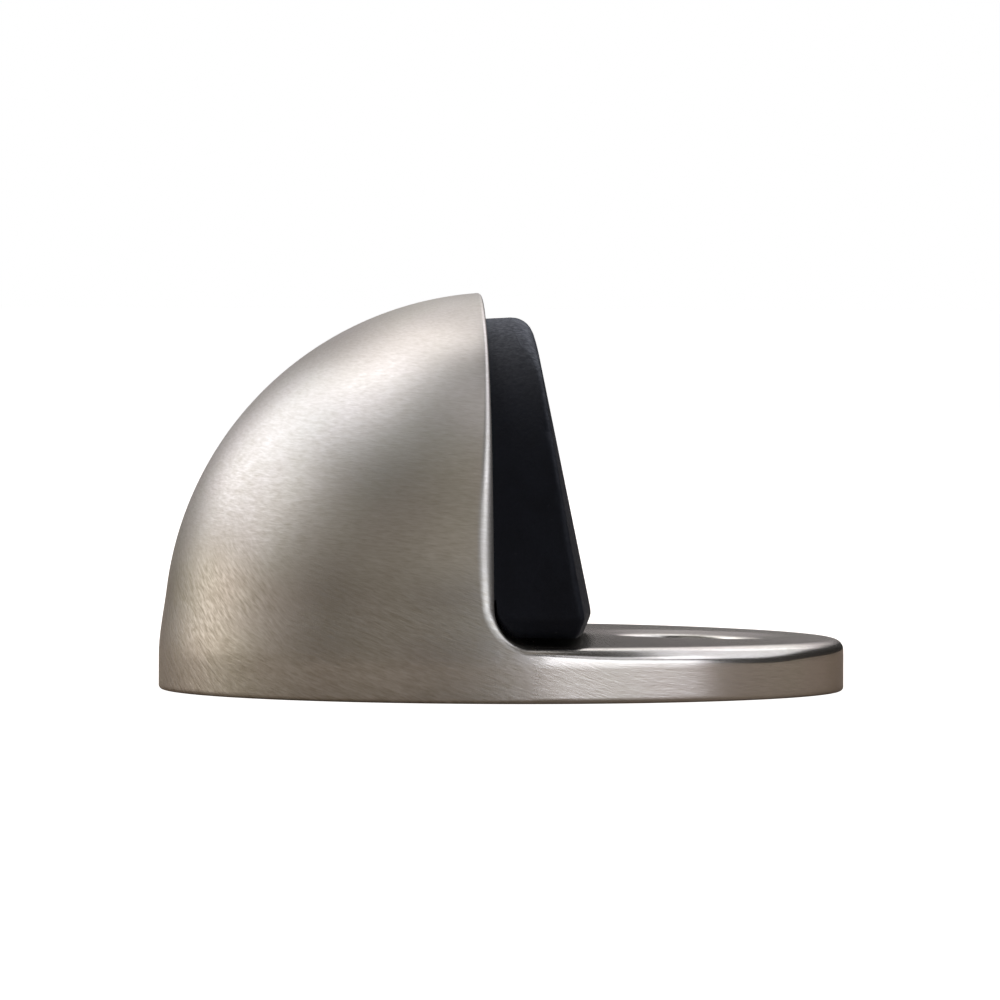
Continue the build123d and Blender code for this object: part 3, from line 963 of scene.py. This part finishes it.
# azimuth, elevation, watts, colour: one broad soft bank up and behind on the
# left, one low on the right of the camera, and weak warm fill between them.
PANELS = [
    # az, el, watts, colour, width, height (m at 0.6 m)
    (-116, 3, 0.290, WARM, 0.30, 0.20),
    (-132, 12, 0.080, PLAIN, 0.20, 0.16),
    (-88, 4, 0.060, WARM, 0.26, 0.26),
    (-42, 8, 0.040, WARM, 0.26, 0.26),
    (39.0, 4, 1.30, COOL, 0.66, 0.26),
    (-165, 28, 0.090, COOL, 0.26, 0.26),
    (-178, 36, 0.110, COOL, 0.20, 0.20),
    (171, 23, 0.180, COOL, 0.26, 0.24),
    (40, 31, 0.240, COOL, 0.40, 0.20),
    (-135, 28, 0.570, COOL, 0.26, 0.26),
    (-105, 28, 0.320, PLAIN, 0.26, 0.26),
    (-75, 28, 0.044, WARM, 0.26, 0.26),
    (-45, 28, 0.040, WARM, 0.26, 0.26),
    (-15, 28, 0.085, WARM, 0.26, 0.26),
    (180, 54, 0.180, PLAIN, 0.26, 0.26),
    (-150, 54, 0.420, PLAIN, 0.26, 0.26),
    (-120, 54, 0.350, COOL, 0.26, 0.26),
    (-90, 54, 0.080, PLAIN, 0.26, 0.26),
    (-30, 54, 0.041, WARM, 0.26, 0.26),
    (0, 54, 0.061, WARM, 0.26, 0.26),
    (0, 82, 0.140, PLAIN, 0.26, 0.26),
    (157, 34, 0.360, COOL, 0.26, 0.30),
    (118, 45, 1.050, COOL, 0.66, 0.40),
    (70, 34, 0.330, COOL, 0.22, 0.22),
]
LIGHTS = [(f"panel_{i:02d}", az, el, 0.6, wd, ht, watts, colour) for i, (az, el, watts, colour, wd, ht) in enumerate(PANELS)]
for row in LIGHTS:
    softbox(*row)

world = bpy.data.worlds.new("studio")
scene.world = world
world.use_nodes = True
w = Tree(world.node_tree)
wo = w.n("ShaderNodeOutputWorld")
bg_cam = w.n("ShaderNodeBackground")
bg_cam.inputs[0].default_value = (1, 1, 1, 1)
bg_cam.inputs[1].default_value = 1.0
bg_light = w.n("ShaderNodeBackground")
bg_light.inputs[0].default_value = (1, 0.98, 0.96, 1)
bg_light.inputs[1].default_value = 0.035
mixw = w.n("ShaderNodeMixShader")
lp = w.n("ShaderNodeLightPath")
w.link(lp.outputs["Is Camera Ray"], mixw.inputs[0])
w.link(bg_light.outputs[0], mixw.inputs[1])
w.link(bg_cam.outputs[0], mixw.inputs[2])
w.link(mixw.outputs[0], wo.inputs[0])

# Floor: a pale round table. To the camera it runs into the white background;
# the metal sees it as a plain pale surface under the panels.
fm, ft, fb = new_material("pale_floor")
fb.inputs["Base Color"].default_value = (0.44, 0.37, 0.30, 1)
fb.inputs["Roughness"].default_value = 0.9
fb.inputs["Specular IOR Level"].default_value = 0.0
fglow = ft.n("ShaderNodeEmission")
fglow.inputs[0].default_value = (1, 1, 1, 1)
fglow.inputs[1].default_value = 1.0
fadd = ft.n("ShaderNodeAddShader")
ft.link(fb.outputs[0], fadd.inputs[0])
ft.link(fglow.outputs[0], fadd.inputs[1])
fmix = ft.n("ShaderNodeMixShader")
flp = ft.n("ShaderNodeLightPath")
ft.link(flp.outputs["Is Camera Ray"], fmix.inputs[0])
ft.link(fb.outputs[0], fmix.inputs[1])
ft.link(fadd.outputs[0], fmix.inputs[2])
fout = [n for n in ft.t.nodes if n.type == "OUTPUT_MATERIAL"][0]
ft.link(fmix.outputs[0], fout.inputs[0])
bm = bmesh.new()
bmesh.ops.create_circle(bm, cap_ends=True, radius=3.0, segments=96)
fme = bpy.data.meshes.new("floor")
bm.to_mesh(fme)
bm.free()
fme.materials.append(fm)
floor = bpy.data.objects.new("floor", fme)
scene.collection.objects.link(floor)

# ---------------------------------------------------------------- camera
CAM_AZ, CAM_EL, CAM_D, CAM_PX_MM = -2.58, 1.50, 0.700, 15.215
CAM_AIM_X, CAM_AIM_Z, CAM_ROLL = -0.105e-3, 12.42e-3, 0.19
cd = bpy.data.cameras.new("camera")
cd.sensor_fit = "HORIZONTAL"
cd.sensor_width = 36.0
cd.lens = 36.0 * CAM_PX_MM * CAM_D * 1000.0 / 1000.0
cd.clip_start, cd.clip_end = 0.05, 20.0
cam = bpy.data.objects.new("camera", cd)
back = direction(CAM_AZ, CAM_EL)
a = math.radians(CAM_AZ)
right = Vector((math.cos(a), math.sin(a), 0.0))
up = back.cross(right)
if up.z < 0:
    up = -up
r = math.radians(CAM_ROLL)
ax = right * math.cos(r) + up * math.sin(r)
ay = -right * math.sin(r) + up * math.cos(r)
pos = right * CAM_AIM_X + Vector((0, 0, CAM_AIM_Z)) + back * CAM_D
cam.matrix_world = Matrix(
    ((ax.x, ay.x, back.x, pos.x), (ax.y, ay.y, back.y, pos.y), (ax.z, ay.z, back.z, pos.z), (0, 0, 0, 1))
)
scene.collection.objects.link(cam)
scene.camera = cam
scene.view_settings.view_transform = "Standard"
scene.view_settings.look = "None"
